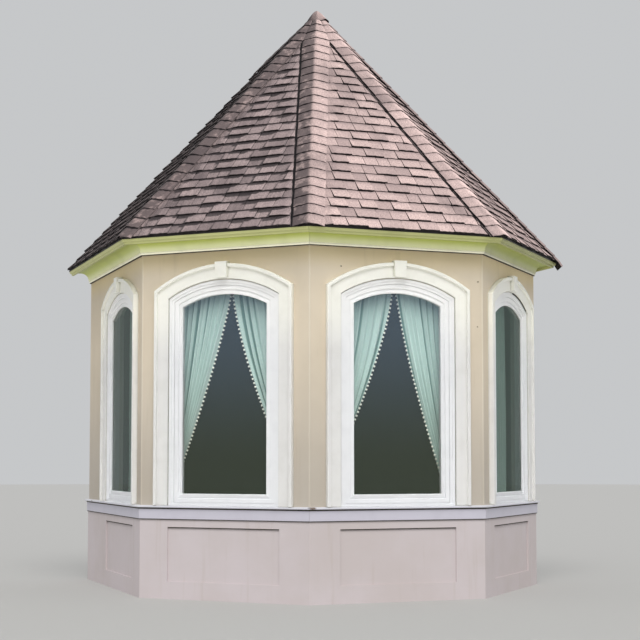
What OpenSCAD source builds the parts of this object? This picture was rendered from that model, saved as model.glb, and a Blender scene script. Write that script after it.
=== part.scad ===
// Octagonal bay window: four tall windows with segmental heads in stuccoed
// walls, a cove cornice and a steep shingled roof, cut off at the house wall.
// Millimetres. +Z is up and -Y is the front. The origin is on the ground, at
// the middle of the octagon, which the point of the roof stands over.

/* [Plan] */
// Width of one side of the octagon, on the outside face of the walls
side_w = 1600; // [1550:10:1700]
// Distance from the middle of the octagon back to the house wall
back_d = 500; // [420:10:560]
// Thickness of the walls
wall_t = 150; // [120:5:180]

/* [Base and sill] */
// Height of the base, up to the underside of the apron boards
base_h = 680; // [600:10:700]
// Distance that the base stands out from the walls
base_out = 8; // [4:1:15]
// Width of the sunk panel in each side of the base
panel_w = 1060; // [900:10:1100]
// Bottom edge of the sunk panels
panel_low = 150; // [100:10:250]
// Top edge of the sunk panels
panel_top = 612; // [540:1:620]
// Depth of the sunk panels
panel_deep = 14; // [8:1:25]
// Height of the sill's top above the ground
sill_z = 797; // [780:1:800]
// Thickness of the sill
sill_t = 20; // [15:1:30]
// Distance that the sill stands out from the walls
sill_out = 42; // [35:1:60]
// Thickness of the apron boards under the sill
apron_t = 20; // [15:1:25]

/* [Windows] */
// Width of the clear glass
glass_w = 800; // [700:10:820]
// Bottom of the clear glass
glass_low = 897; // [890:1:920]
// Crown of the clear glass
glass_crown = 2590; // [2500:10:2600]
// Radius of the glass at the head
arch_r = 883; // [800:1:1100]
// Width of the sash's face
sash_w = 77; // [60:1:80]
// Width of the window frame's face
frame_w = 45; // [30:1:50]
// Width of the moulded casing
casing_w = 130; // [110:1:135]
// Width of the raised band round the casing
band_w = 30; // [25:1:40]
// Width of the keystone at its top
keystone_w = 114; // [100:1:130]
// Height of the keystone
keystone_h = 138; // [132:1:150]

/* [Cornice and roof] */
// Bottom of the cornice
cornice_z = 2965; // [2950:1:3000]
// Radius of the cove in the cornice
cove_r = 76; // [60:1:80]
// Overhang of the roof, measured square to the walls
eave_out = 215; // [200:1:240]
// Height of the roof surface at the eave
eave_z = 3104; // [3095:1:3150]
// Height of the point where the roof's slopes meet
apex_z = 5550; // [4800:10:5800]
// Thickness of the roof, measured upright
roof_t = 60; // [50:1:80]
// Width of the caps over the hips, on each slope
cap_w = 132; // [120:2:180]

/* [Inside] */
// Height of the floor's top
floor_z = 150; // [100:10:250]
// Height of the ceiling's underside
ceiling_z = 2900; // [2860:10:2920]
// Height of the curtain rods
rod_z = 2775; // [2770:5:2800]
// Mean height at which the curtains are tied back
tie_z = 1000; // [900:10:1100]

/* [Hidden] */

$fn = 120;

// The sides in the order left, front left, front right, right, return, and
// then the two halves of the slope that only the roof has, back right and back
// left. Each side has a direction, turned from the front, and runs from one
// mitre to the next. The left side runs straight on to the house wall.
side_dir = [-67.5, -22.5, 22.5, 67.5, 112.5, 157.5, 157.5];
side_from = [-135, -45, 0, 45, 90, 135, 180];
side_to = [-45, 0, 45, 90, 135, 180, 225];
SIDES = [0 : 4];
WINDOWS = [0 : 3];

apothem = side_w / 2 / tan(22.5);
// a length past every part, for the prisms that cut
reach = 6000;
// gap between the ends of boards that share a corner
mitre_gap = 2;

// joint between the frame and the casing
joint_gap = 5;
frame_edge = sash_w + frame_w;
casing_in = frame_edge + joint_gap;
casing_out = casing_in + casing_w;
arch_z = glass_crown - arch_r;
glass_t = 6;
glass_y = 20;
// distances that the faces stand out from the wall
field_out = 25;
band_out = 48;
keystone_out = 62;
frame_out = 10;

roof_slope = (apex_z - eave_z) / (apothem + eave_out);
soffit_z = cornice_z + 100;
soffit_t = 12;
fascia_back = 165;
deck_back = 190;
cap_t = 14;
cap_start = cap_w / tan(22.5) + 20;
ceiling_t = 25;
gable_t = 20;

rod_y = wall_t + 85;
rod_r = 12;
rod_half = 600;

// direction on the plan, turned from the front
function on_plan(t) = [sin(t), -cos(t)];
// height of the roof's top surface at a distance out from the walls
function roof_z(out) = eave_z + (eave_out - out) * roof_slope;
// half width, radius and springing of a line at a distance from the glass
function half_w(g) = glass_w / 2 + g;
function head_r(g) = arch_r + g;
function spring_z(g) = arch_z + sqrt(head_r(g) * head_r(g) - half_w(g) * half_w(g));

// stand children on side i, with x along the wall, -y out and y inwards
module on_side(i) {
    rotate([0, 0, side_dir[i]])
        translate([0, -apothem, 0])
            children();
}

// the part of the plan that belongs to side i, as a tall prism
module mitre_block(i, gap = 0) {
    a = on_plan(side_from[i]) * reach;
    b = on_plan((side_from[i] + side_to[i]) / 2) * reach * 1.5;
    c = on_plan(side_to[i]) * reach;
    intersection() {
        translate([0, 0, -reach / 2])
            linear_extrude(reach * 2)
                translate(on_plan(side_dir[i]) * gap)
                    polygon([[0, 0], a, b, c]);
        translate([-2 * reach, back_d - 4 * reach, -reach])
            cube([4 * reach, 4 * reach, 4 * reach]);
    }
}

// a profile of [distance out, height] points run along side i
module run(i, profile, gap = 0) {
    intersection() {
        on_side(i)
            translate([-reach / 2, 0, 0])
                rotate([90, 0, 90])
                    linear_extrude(reach)
                        mirror([1, 0])
                            polygon(profile);
        mitre_block(i, gap);
    }
}

// an upright sheet on a side, from depth y0 to y1
module upright(y0, y1) {
    translate([0, y1, 0])
        rotate([90, 0, 0])
            linear_extrude(y1 - y0)
                children();
}

// the outline of the window at a distance g from the clear glass
module outline(g, low) {
    translate([-half_w(g), low])
        square([2 * half_w(g), spring_z(g) - low]);
    intersection() {
        translate([0, arch_z])
            circle(head_r(g));
        translate([-half_w(g), spring_z(g) - 50])
            square([2 * half_w(g), head_r(g)]);
    }
}

// a frame between two such outlines
module ring(g_out, g_in, y0, y1, low_out, low_in) {
    upright(y0, y1)
        difference() {
            outline(g_out, low_out);
            outline(g_in, low_in);
        }
}

// a profile of [distance from the glass, distance out] points, run up one
// jamb, round the head and down the other jamb, and mitred at the springing;
// with a foot it runs on along the bottom, mitred at the corners
module moulding(profile, g0, g1, low, foot = false) {
    inner = [half_w(g0), spring_z(g0)];
    outer = [half_w(g1), spring_z(g1)];
    over = (outer - inner) / 4;
    past = (g1 - g0) / 4;
    low_in = foot ? [inner[0] - past, glass_low - g0 + past] : [inner[0] - over[0], low - 1];
    low_out = foot ? [outer[0] + past, glass_low - g1 - past] : [outer[0] + over[0], low - 1];
    deep = 200;
    for (s = [0, 1])
        mirror([s, 0, 0])
            intersection() {
                translate([glass_w / 2, 0, low])
                    linear_extrude(outer[1] - low + 100)
                        polygon([for (p = profile) [p[0], -p[1]]]);
                upright(-deep, deep)
                    polygon([inner - over, outer + over, low_out, low_in]);
            }
    intersection() {
        translate([0, 0, arch_z])
            rotate([90, 0, 0])
                rotate_extrude()
                    polygon([for (p = profile) [arch_r + p[0], p[1]]]);
        upright(-deep, deep)
            polygon([
                inner - over, outer + over, [outer[0] + over[0], reach],
                [-outer[0] - over[0], reach], [-outer[0] - over[0], outer[1] + over[1]],
                [-inner[0] + over[0], inner[1] - over[1]]
            ]);
    }
    if (foot)
        intersection() {
            translate([-outer[0], 0, glass_low])
                rotate([90, 0, 90])
                    linear_extrude(2 * outer[0])
                        polygon([for (p = profile) [-p[1], -p[0]]]);
            upright(-deep, deep)
                polygon([
                    low_in, low_out, [-low_out[0], low_out[1]], [-low_in[0], low_in[1]]
                ]);
        }
}

function arc(cx, cy, r, a0, a1, n) =
    [for (k = [0 : n]) [cx + r * cos(a0 + (a1 - a0) * k / n), cy + r * sin(a0 + (a1 - a0) * k / n)]];

// flat field, small cove and a raised band with a rounded back edge
casing_cove = 10;
band_in = casing_out - band_w;
casing_profile = concat(
    [[casing_in, 0], [casing_in, field_out - 4], [casing_in + 4, field_out]],
    arc(band_in - casing_cove, field_out + casing_cove, casing_cove, -90, 0, 4),
    [[band_in, band_out - 3], [band_in + 3, band_out]],
    arc(casing_out - 8, band_out - 8, 8, 90, 0, 3),
    [[casing_out, 0]]
);

// glazing bead, hollow, flat face and a quirk at the edge, with a groove for
// the glass behind them
rebate = 8;
bead_w = 14;
hollow_w = 38;
quirk = 3;
sash_face = -5;
sash_back = -45;
sash_profile = [
    [0, -glass_y], [0, -11], [3, -8], [bead_w - 3, -8], [bead_w, -10],
    [hollow_w, -18], [hollow_w, sash_face - 3], [hollow_w + 3, sash_face],
    [sash_w - quirk, sash_face], [sash_w - quirk, sash_face - 7],
    [sash_w, sash_face - 7], [sash_w, sash_back], [0, sash_back],
    [0, -glass_y - glass_t], [rebate, -glass_y - glass_t], [rebate, -glass_y]
];

module wall(i) {
    color("tan")
        difference() {
            run(i, [
                [-wall_t, base_h], [0, base_h], [0, roof_z(0) - roof_t],
                [-wall_t, roof_z(-wall_t) - roof_t]
            ]);
            if (i < 4)
                on_side(i)
                    upright(-50, wall_t + 50)
                        outline(frame_edge + joint_gap / 2, sill_z);
        }
}

module base(i) {
    color("rosybrown")
        difference() {
            run(i, [[-wall_t, 0], [base_out, 0], [base_out, base_h], [-wall_t, base_h]]);
            if (i < 4)
                on_side(i)
                    translate([-panel_w / 2, -base_out - 1, panel_low])
                        cube([panel_w, panel_deep + 1, panel_top - panel_low]);
        }
}

module apron_boards() {
    color("lavender")
        for (i = SIDES)
            run(i, [
                [0, base_h], [apron_t - 3, base_h], [apron_t, base_h + 3],
                [apron_t, sill_z - sill_t], [0, sill_z - sill_t]
            ], mitre_gap);
}

module sill_boards() {
    color("ghostwhite")
        for (i = SIDES)
            run(i, [
                [0, sill_z - sill_t], [sill_out - 4, sill_z - sill_t],
                [sill_out, sill_z - sill_t + 4], [sill_out, sill_z - 7],
                [sill_out - 3, sill_z - 4], [0, sill_z]
            ], mitre_gap);
}

module casing_solid() {
    moulding(casing_profile, casing_in, casing_out, sill_z);
}

module casing(i) {
    color("white")
        on_side(i)
            casing_solid();
}

// tapered block laid over the casing at the crown
module keystones() {
    top = glass_crown + casing_out + 14;
    color("white")
        for (i = WINDOWS)
            on_side(i)
                difference() {
                    upright(-keystone_out, 0)
                        polygon([
                            [-keystone_w / 2, top], [keystone_w / 2, top],
                            [keystone_w * 0.43, top - keystone_h],
                            [-keystone_w * 0.43, top - keystone_h]
                        ]);
                    casing_solid();
                }
}

module window_frame(i) {
    color("white")
        on_side(i) {
            ring(frame_edge, sash_w, -2, 100, sill_z, glass_low - sash_w);
            ring(frame_edge, frame_edge - 22, -frame_out, -2, sill_z, sill_z + 12);
        }
}

module sash(i) {
    color("white")
        on_side(i)
            moulding(sash_profile, 0, sash_w, glass_low - sash_w, foot = true);
}

module glass(i) {
    color("steelblue", 0.4)
        on_side(i)
            upright(glass_y, glass_y + glass_t)
                outline(rebate, glass_low - rebate);
}

// bead, quirk and cove under the soffit
module bed_mould() {
    bead = 20;
    cove_foot = bead + 5;
    color("beige")
        for (i = SIDES)
            run(i, concat(
                [[0, cornice_z], [bead - 3, cornice_z], [bead, cornice_z + 3],
                 [bead, cornice_z + 13], [bead - 3, cornice_z + 14],
                 [bead - 3, cornice_z + 17], [cove_foot, cornice_z + 19]],
                arc(cove_foot + cove_r, soffit_z - cove_r, cove_r, 180, 90, 8),
                [[cove_foot + cove_r, soffit_z], [0, soffit_z]]
            ), mitre_gap);
}

module soffit() {
    color("beige")
        for (i = SIDES)
            run(i, [
                [0, soffit_z], [fascia_back, soffit_z],
                [fascia_back, soffit_z + soffit_t], [0, soffit_z + soffit_t]
            ], mitre_gap);
}

// board with a small crown moulding along its top
module fascia() {
    low = cornice_z + 75;
    top = roof_z(fascia_back) - roof_t;
    color("beige")
        for (i = SIDES)
            run(i, concat(
                [[fascia_back, low], [184, low], [184, low + 14], [188, low + 17]],
                arc(188, low + 32, 15, -90, 0, 4),
                [[205, low + 33], [205, low + 42], [deck_back, low + 42],
                 [deck_back, roof_z(deck_back) - roof_t], [fascia_back, top]]
            ), mitre_gap);
}

// folded metal strip at the edge of the roof
module drip_edge() {
    low = cornice_z + 117;
    color("dimgray")
        for (i = SIDES)
            run(i, [
                [deck_back + 1, low], [209, low], [209, roof_z(209) - 4],
                [deck_back + 1, roof_z(deck_back + 1) - 4]
            ], mitre_gap);
}

module roof(i) {
    color("rosybrown")
        run(i, [
            [deck_back, roof_z(deck_back) - roof_t], [deck_back, roof_z(deck_back) - 4],
            [eave_out, roof_z(eave_out) - 4], [eave_out, roof_z(eave_out)],
            [-apothem, apex_z], [-apothem, apex_z - roof_t]
        ]);
}

// skin of thickness t over the roof's slopes
module roof_skin(t) {
    for (i = [0 : 6])
        run(i, [
            [eave_out, roof_z(eave_out)], [eave_out, roof_z(eave_out) + t],
            [-apothem, apex_z + t], [-apothem, apex_z]
        ]);
}

module hip_caps() {
    color("rosybrown")
        for (h = [-45, 0, 45, 90, 135, 225])
            intersection() {
                roof_skin(cap_t);
                rotate([0, 0, h])
                    translate([-cap_w, -reach, 0])
                        cube([2 * cap_w, reach - cap_start, reach * 2]);
            }
}

module apex_cap() {
    color("rosybrown")
        intersection() {
            roof_skin(cap_t);
            linear_extrude(reach * 2)
                circle(cap_start - 10, $fn = 8);
        }
}

// the room's plan, inset from the outside faces and cut at the house wall
module room_plan(inset) {
    r = (apothem - inset) / cos(22.5);
    left_back = on_plan(-45) * r + [-tan(22.5), 1] * (back_d + r * cos(45));
    right_back = on_plan(90) * r + [-tan(22.5), 1] * back_d;
    polygon(concat(
        [for (h = [-45, 0, 45, 90]) on_plan(h) * r],
        [right_back, left_back]
    ));
}

module floor_slab() {
    color("burlywood")
        linear_extrude(floor_z)
            room_plan(wall_t);
}

module ceiling() {
    color("white")
        translate([0, 0, ceiling_z])
            linear_extrude(ceiling_t)
                room_plan(wall_t);
}

// boarding that closes the roof space at the house wall
module gable_back() {
    color("burlywood")
        intersection() {
            for (i = [0, 4, 5, 6])
                run(i, [
                    [-wall_t, ceiling_z + ceiling_t], [-apothem, ceiling_z + ceiling_t],
                    [-apothem, apex_z - roof_t], [-wall_t, roof_z(-wall_t) - roof_t]
                ]);
            translate([-reach, back_d - gable_t, 0])
                cube([2 * reach, gable_t, reach * 2]);
        }
}

module curtain_rods() {
    color("darkgoldenrod")
        for (i = WINDOWS)
            on_side(i)
                for (s = [-1, 1]) {
                    translate([-rod_half, rod_y, rod_z])
                        rotate([0, 90, 0])
                            cylinder(h = 2 * rod_half, r = rod_r);
                    translate([s * (rod_half - 40), wall_t, rod_z])
                        rotate([-90, 0, 0])
                            cylinder(h = rod_y - wall_t, r = 8);
                }
}

// Each tied curtain on each side: how far across the free edges meet, how far
// across the tie is, its height against tie_z, and how the edge above it bows
ties = [
    [],
    [[-35, -560, 100, 1.25], [-35, 560, -50, 1.45]],
    [[54, -560, 0, 1.5], [54, 550, -100, 1.22]],
    []
];
curtain_low = floor_z + 20;
curtain_top = rod_z - 20;
curtain_t = 70;
// the edge starts to fall this far below the rod, and flares below the tie
meet_z = rod_z - 70;
flare = 90;
flare_h = 900;

// how far across the free edge above the tie t is at a height
function edge_above(t, z) =
    t[0] + (t[1] - t[0]) * pow(max(0, meet_z - z) / (meet_z - tie_z - t[2]), t[3]);
// and below the tie
function edge_below(t, z) =
    t[1] - sign(t[1]) * flare * pow(min(1, (tie_z + t[2] - z) / flare_h), 0.8);

module tied_curtain(t) {
    tie = tie_z + t[2];
    outer = sign(t[1]) * rod_half;
    polygon(concat(
        [for (k = [0 : 8]) let (z = curtain_top - (curtain_top - tie) * k / 8)
            [edge_above(t, z), z]],
        [for (k = [1 : 4]) let (z = tie - (tie - curtain_low) * k / 4)
            [edge_below(t, z), z]],
        [[outer, curtain_low], [outer, curtain_top]]
    ));
}

module curtains(i) {
    half_gap = 20;
    color("mediumaquamarine")
        on_side(i)
            upright(rod_y - curtain_t / 2, rod_y + curtain_t / 2)
                if (len(ties[i]) > 0)
                    for (t = ties[i])
                        tied_curtain(t);
                else
                    for (x = [-rod_half, half_gap])
                        translate([x, curtain_low])
                            square([rod_half - half_gap, curtain_top - curtain_low]);
}

wall(0);  // wall_left
wall(1);  // wall_front_left
wall(2);  // wall_front_right
wall(3);  // wall_right
wall(4);  // wall_return
base(0);  // base_left
base(1);  // base_front_left
base(2);  // base_front_right
base(3);  // base_right
base(4);  // base_return
apron_boards();
sill_boards();
casing(0);  // casing_left
casing(1);  // casing_front_left
casing(2);  // casing_front_right
casing(3);  // casing_right
keystones();
window_frame(0);  // window_frame_left
window_frame(1);  // window_frame_front_left
window_frame(2);  // window_frame_front_right
window_frame(3);  // window_frame_right
sash(0);  // sash_left
sash(1);  // sash_front_left
sash(2);  // sash_front_right
sash(3);  // sash_right
glass(0);  // glass_left
glass(1);  // glass_front_left
glass(2);  // glass_front_right
glass(3);  // glass_right
bed_mould();
soffit();
fascia();
drip_edge();
roof(0);  // roof_left
roof(1);  // roof_front_left
roof(2);  // roof_front_right
roof(3);  // roof_right
roof(4);  // roof_return
roof(5);  // roof_back_right
roof(6);  // roof_back_left
hip_caps();
apex_cap();
floor_slab();  // floor
ceiling();
gable_back();
curtain_rods();
curtains(0);  // curtains_left
curtains(1);  // curtains_front_left
curtains(2);  // curtains_front_right
curtains(3);  // curtains_right
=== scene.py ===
# Octagonal bay window: the finishes, the shingles, the worn paint and the curtains.
# Metres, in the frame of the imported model, with the front towards -Y.
import bmesh
import bpy
from math import atan, cos, pi, radians, sin, sqrt, tan
from random import Random
from mathutils import Matrix, Vector, noise


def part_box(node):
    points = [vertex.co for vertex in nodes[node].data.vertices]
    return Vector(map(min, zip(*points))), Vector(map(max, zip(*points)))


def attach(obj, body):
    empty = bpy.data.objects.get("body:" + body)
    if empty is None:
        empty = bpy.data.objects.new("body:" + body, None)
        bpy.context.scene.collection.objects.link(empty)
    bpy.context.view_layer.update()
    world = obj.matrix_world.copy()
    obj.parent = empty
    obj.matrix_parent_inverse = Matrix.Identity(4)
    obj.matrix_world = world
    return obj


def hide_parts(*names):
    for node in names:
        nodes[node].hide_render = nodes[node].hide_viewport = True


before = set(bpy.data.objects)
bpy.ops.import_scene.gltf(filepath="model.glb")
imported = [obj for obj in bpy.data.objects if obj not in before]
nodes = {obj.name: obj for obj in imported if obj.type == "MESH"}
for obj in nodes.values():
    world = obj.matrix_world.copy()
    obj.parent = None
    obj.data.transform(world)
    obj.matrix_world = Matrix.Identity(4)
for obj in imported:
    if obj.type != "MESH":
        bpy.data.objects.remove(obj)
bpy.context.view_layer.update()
scene = bpy.context.scene
print("frame loaded with", len(nodes), "nodes")

# The camera stands where the picture was taken, a little right of the middle and at
# chest height, looking three and a half degrees up.
cameraSet = {
    "place": (0.4217, -13.9997, 1.177),
    "yaw": -0.0281,
    "pitch": 0.0611,
    "lens": 81.57,
    "shiftY": 0.0812,
}
camera = bpy.data.objects.new("camera", bpy.data.cameras.new("camera"))
scene.collection.objects.link(camera)
camera.location = cameraSet["place"]
forward = Vector((
    sin(cameraSet["yaw"]) * cos(cameraSet["pitch"]),
    cos(cameraSet["yaw"]) * cos(cameraSet["pitch"]),
    sin(cameraSet["pitch"]),
))
camera.rotation_mode = "QUATERNION"
camera.rotation_quaternion = forward.to_track_quat("-Z", "Y")
camera.data.lens = cameraSet["lens"]
camera.data.shift_y = cameraSet["shiftY"]
scene.camera = camera
print("camera placed")

# The plan, read from the frame: the octagon's corner and flat, and the house wall.
halfDegrees = 22.5  # half of the angle that a side of the octagon takes up
halfAngle = radians(halfDegrees)
corner = -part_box("wall_front_left")[0].y
flat = corner * cos(halfAngle)
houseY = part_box("gable_back")[1].y
# direction of each side, turned from the front, and where it starts and ends
sides = {
    "left": (-67.5, -135, -45),
    "front_left": (-22.5, -45, 0),
    "front_right": (22.5, 0, 45),
    "right": (67.5, 45, 90),
    "return": (112.5, 90, 135),
    "back_right": (157.5, 135, 180),
    "back_left": (157.5, 180, 225),
}
walls = ["left", "front_left", "front_right", "right", "return"]
windows = walls[:4]

# The roof's pitch, from its tip and the top of the metal edge.
edgeOut = 0.191  # from the walls out to the edge's top
edgeDrop = 0.004  # from the slope down to it
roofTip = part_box("roof_front_left")[1].z
roofEdge = -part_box("roof_front_left")[0].y * cos(halfAngle)
pitch = (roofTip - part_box("drip_edge")[1].z - edgeDrop) / (flat + edgeOut)
eaveZ = roofTip - pitch * roofEdge
slopeAngle = atan(pitch)
slopeLength = roofEdge / cos(slopeAngle)
hipPlan = cos(atan(pitch * cos(halfAngle)))  # how far a metre of hip carries over the plan


def onPlan(turn):
    # the direction that is turned so far from the front
    return Vector((sin(radians(turn)), -cos(radians(turn)), 0))


def rightOf(turn):
    # the direction to its right, seen from outside
    return Vector((cos(radians(turn)), sin(radians(turn)), 0))


def roofHeight(point):
    # the slopes' own height over a point of the plan
    furthest = max(point.dot(onPlan(side[0])) for side in sides.values())
    return roofTip - furthest * pitch


def wallFrame(name):
    # x runs along the wall, y into the room, z up, from the foot of the wall's middle
    turn = Matrix.Rotation(radians(sides[name][0]), 4, "Z")
    return turn @ Matrix.Translation((0, -flat, 0))


def slopeFrame(name):
    # x runs along the eave, y up the slope and z out of it
    turn = Matrix.Rotation(radians(sides[name][0]), 4, "Z")
    lay = Matrix.Rotation(slopeAngle, 4, "X")
    return turn @ Matrix.Translation((0, -roofEdge, eaveZ)) @ lay


def trimAway(bm, place, normal):
    # cuts off what lies on the normal's side of a plane and closes the cuts
    everything = list(bm.verts) + list(bm.edges) + list(bm.faces)
    cut = bmesh.ops.bisect_plane(
        bm, geom=everything, plane_co=place, plane_no=normal, clear_outer=True, dist=1e-5
    )
    rim = [e for e in cut["geom_cut"] if isinstance(e, bmesh.types.BMEdge)]
    bmesh.ops.holes_fill(bm, edges=rim, sides=0)


def trimToHouse(bm):
    trimAway(bm, Vector((0, houseY, 0)), Vector((0, 1, 0)))


def trimToSide(bm, name):
    # cuts off what runs past a side's two corners or past the house wall
    start, end = sides[name][1:]
    trimAway(bm, Vector(), -rightOf(start))
    trimAway(bm, Vector(), rightOf(end))
    trimToHouse(bm)


def addTo(target, bm):
    # puts a small mesh into a large one, layers and all
    mesh = bpy.data.meshes.new("part")
    bm.to_mesh(mesh)
    bm.free()
    target.from_mesh(mesh)
    bpy.data.meshes.remove(mesh)


def addLayers(bm, *kinds):
    # numbers at each vertex, which the materials read by these names
    return [bm.verts.layers.float.new(kind) for kind in kinds]


def makeObject(name, bm, material):
    mesh = bpy.data.meshes.new(name)
    bm.to_mesh(mesh)
    bm.free()
    mesh.materials.append(material)
    made = bpy.data.objects.new(name, mesh)
    scene.collection.objects.link(made)
    return made


def makePiece(name, bm, material, smooth=None):
    piece = makeObject(name, bm, material)
    if smooth is not None:
        piece.data.shade_smooth()
        piece.data.set_sharp_from_angle(angle=radians(smooth))
    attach(piece, "root")
    return piece


def dress(material, *names):
    for name in names:
        nodes[name].data.materials.clear()
        nodes[name].data.materials.append(material)


# Materials: a colour is a hex value, and each coat goes over the paint under it.


def linear(colour):
    parts = [int(colour[k:k + 2], 16) / 255 for k in (1, 3, 5)]
    return [c / 12.92 if c <= 0.04045 else ((c + 0.055) / 1.055) ** 2.4 for c in parts] + [1]


def perMetre(millimetres):
    # a texture's scale, from the real size of its grain
    return 1000 / millimetres


def setSocket(socket, value):
    socket.default_value = linear(value) if isinstance(value, str) else value


def addNode(tree, kind, inputs, **settings):
    node = tree.nodes.new(kind)
    for name, value in settings.items():
        setattr(node, name, value)
    for name, value in inputs.items():
        if isinstance(value, bpy.types.NodeSocket):
            tree.links.new(value, node.inputs[name])
        else:
            setSocket(node.inputs[name], value)
    return node


def startMaterial(name, **sockets):
    material = bpy.data.materials.new(name)
    material.use_nodes = True
    tree = material.node_tree
    shader = tree.nodes["Principled BSDF"]
    for socket, value in sockets.items():
        setSocket(shader.inputs[socket.replace("_", " ")], value)
    place = addNode(tree, "ShaderNodeTexCoord", {}).outputs["Object"]
    return material, tree, shader, place


def grain(tree, place, millimetres, detail=3, stretch=(1, 1, 1), roughness=0.55):
    # noise of a real size, pulled out along an axis where stretch is under one
    pulled = addNode(tree, "ShaderNodeMapping", {"Vector": place, "Scale": stretch})
    return addNode(tree, "ShaderNodeTexNoise", {
        "Vector": pulled.outputs[0], "Scale": perMetre(millimetres),
        "Detail": detail, "Roughness": roughness,
    }).outputs["Fac"]


def layOver(tree, paint, colour, share, low=None, high=None, atLow=0.0, atHigh=1.0):
    # a coat that covers a share of the paint, or that goes from one share to another
    # while a pattern goes from low to high
    if low is not None:
        share = addNode(tree, "ShaderNodeMapRange", {
            "Value": share, "From Min": low, "From Max": high, "To Min": atLow, "To Max": atHigh,
        }, interpolation_type="SMOOTHSTEP").outputs[0]
    return addNode(tree, "ShaderNodeMix", {0: share, 6: paint, 7: colour},
                   data_type="RGBA", blend_type="MIX").outputs[2]


def layAbove(tree, place, paint, colour, low, high, atLow=0.0, atHigh=1.0):
    # a coat that goes from one share to another between two heights
    height = addNode(tree, "ShaderNodeSeparateXYZ", {"Vector": place}).outputs["Z"]
    return layOver(tree, paint, colour, height, low, high, atLow, atHigh)


def layPatches(tree, place, paint, colour, millimetres, low, high, most=1.0, detail=4,
               stretch=(1, 1, 1), roughness=0.55):
    # a coat in soft patches of a real size
    pattern = grain(tree, place, millimetres, detail, stretch, roughness)
    return layOver(tree, paint, colour, pattern, low, high, 0.0, most)


def paintCornerShade(tree, paint, colour, reach, low, high, most):
    # painted shade: a darker coat where the space within reach is shut in
    around = addNode(tree, "ShaderNodeAmbientOcclusion", {"Distance": reach}, samples=8)
    return layOver(tree, paint, colour, around.outputs["AO"], low, high, most, 0.0)


def layMarks(tree, place, paint, marks):
    # small ragged spots of dirt or rust, each with its middle, its radius and its colour
    for middle, radius, colour in marks:
        away = addNode(tree, "ShaderNodeVectorMath", {0: place, 1: middle},
                       operation="DISTANCE").outputs["Value"]
        ragged = addNode(tree, "ShaderNodeMapRange", {
            "Value": grain(tree, place, 9, 2), "From Min": 0.2, "From Max": 0.8,
            "To Min": -0.35 * radius, "To Max": 0.35 * radius,
        }, interpolation_type="SMOOTHSTEP").outputs[0]
        away = addNode(tree, "ShaderNodeMath", {0: away, 1: ragged}, operation="ADD").outputs[0]
        paint = layOver(tree, paint, colour, away, radius * 0.4, radius, 0.85, 0.0)
    return paint


def roughen(tree, shader, place, millimetres, strength, distance, detail=2, roughness=0.55):
    # relief of a real grain, over the relief that the shader already has
    pattern = grain(tree, place, millimetres, detail, roughness=roughness)
    bump = addNode(tree, "ShaderNodeBump", {
        "Height": pattern, "Strength": strength, "Distance": distance,
    })
    for link in shader.inputs["Normal"].links:
        tree.links.new(link.from_socket, bump.inputs["Normal"])
    tree.links.new(bump.outputs[0], shader.inputs["Normal"])


stuccoSet = {
    # the eave colour is painted bounce light; the foot colour is greyer paint and painted shade
    "eave": "#f0dcb4",
    "top": "#e9dbc5",
    "foot": "#c6bdb1",
    "stain": "#a8997f",
    "plaster": "#dad7cf",
    "baseTop": "#ebe4e8",
    "baseFoot": "#d7cdcf",
    "splashAndShadeFrom": (0.8, 2.4),
    "eaveBounceFrom": (2.74, 2.95),
    "skin": 0.08,  # how far behind a wall's face the plaster begins
    "patchMm": 700,
    "runMm": 60,
    "waveMm": 260,
    "sandMm": 7,
    "marks": [
        ((-1.363, -1.526, 1.071), 0.014, "#4a3f2c"),
        ((1.437, -1.495, 2.72), 0.012, "#85765a"),
        ((1.43, -1.498, 2.329), 0.01, "#85765a"),
        ((0.259, -1.983, 2.797), 0.01, "#6a5c42"),
    ],
}


def insideRoom(tree, place):
    # 1 on the room's side of the wall's middle, 0 outside
    furthest = None
    for name in walls:
        reach = addNode(tree, "ShaderNodeVectorMath", {0: place, 1: onPlan(sides[name][0])},
                        operation="DOT_PRODUCT").outputs["Value"]
        if furthest is None:
            furthest = reach
        else:
            furthest = addNode(tree, "ShaderNodeMath", {0: furthest, 1: reach},
                               operation="MAXIMUM").outputs[0]
    return addNode(tree, "ShaderNodeMath", {0: furthest, 1: flat - stuccoSet["skin"]},
                   operation="LESS_THAN").outputs[0]


def sandStucco(name, top, foot, eave=None):
    # Sand-finished stucco under acrylic paint: dull and nearly even, with faint run marks,
    # greyer and darker towards the foot, partly where rain splashes and partly as painted
    # shade, and warmer and yellower under the eave as painted bounce light.
    # Its sand is 1 to 2 mm, drawn at 7 mm so that it shows.
    material, tree, shader, place = startMaterial(name, Roughness=0.88, IOR=1.45)
    stain = stuccoSet["stain"]
    # darker and greyer towards the foot: splashed paint and painted shade
    paint = layAbove(tree, place, foot, top, *stuccoSet["splashAndShadeFrom"])
    # painted warm bounce light under the eave
    paint = layAbove(tree, place, paint, eave or top, *stuccoSet["eaveBounceFrom"])
    paint = layPatches(tree, place, paint, stain, stuccoSet["patchMm"], 0.35, 0.7, 0.16)
    paint = layPatches(tree, place, paint, stain, stuccoSet["runMm"], 0.56, 0.74, 0.13, 3,
                       (1, 1, 0.06))
    paint = layMarks(tree, place, paint, stuccoSet["marks"])
    paint = layOver(tree, paint, stuccoSet["plaster"], insideRoom(tree, place))
    tree.links.new(paint, shader.inputs["Base Color"])
    roughen(tree, shader, place, stuccoSet["waveMm"], 0.25, 0.012)
    roughen(tree, shader, place, stuccoSet["sandMm"], 0.35, 0.0018)
    return material


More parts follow.
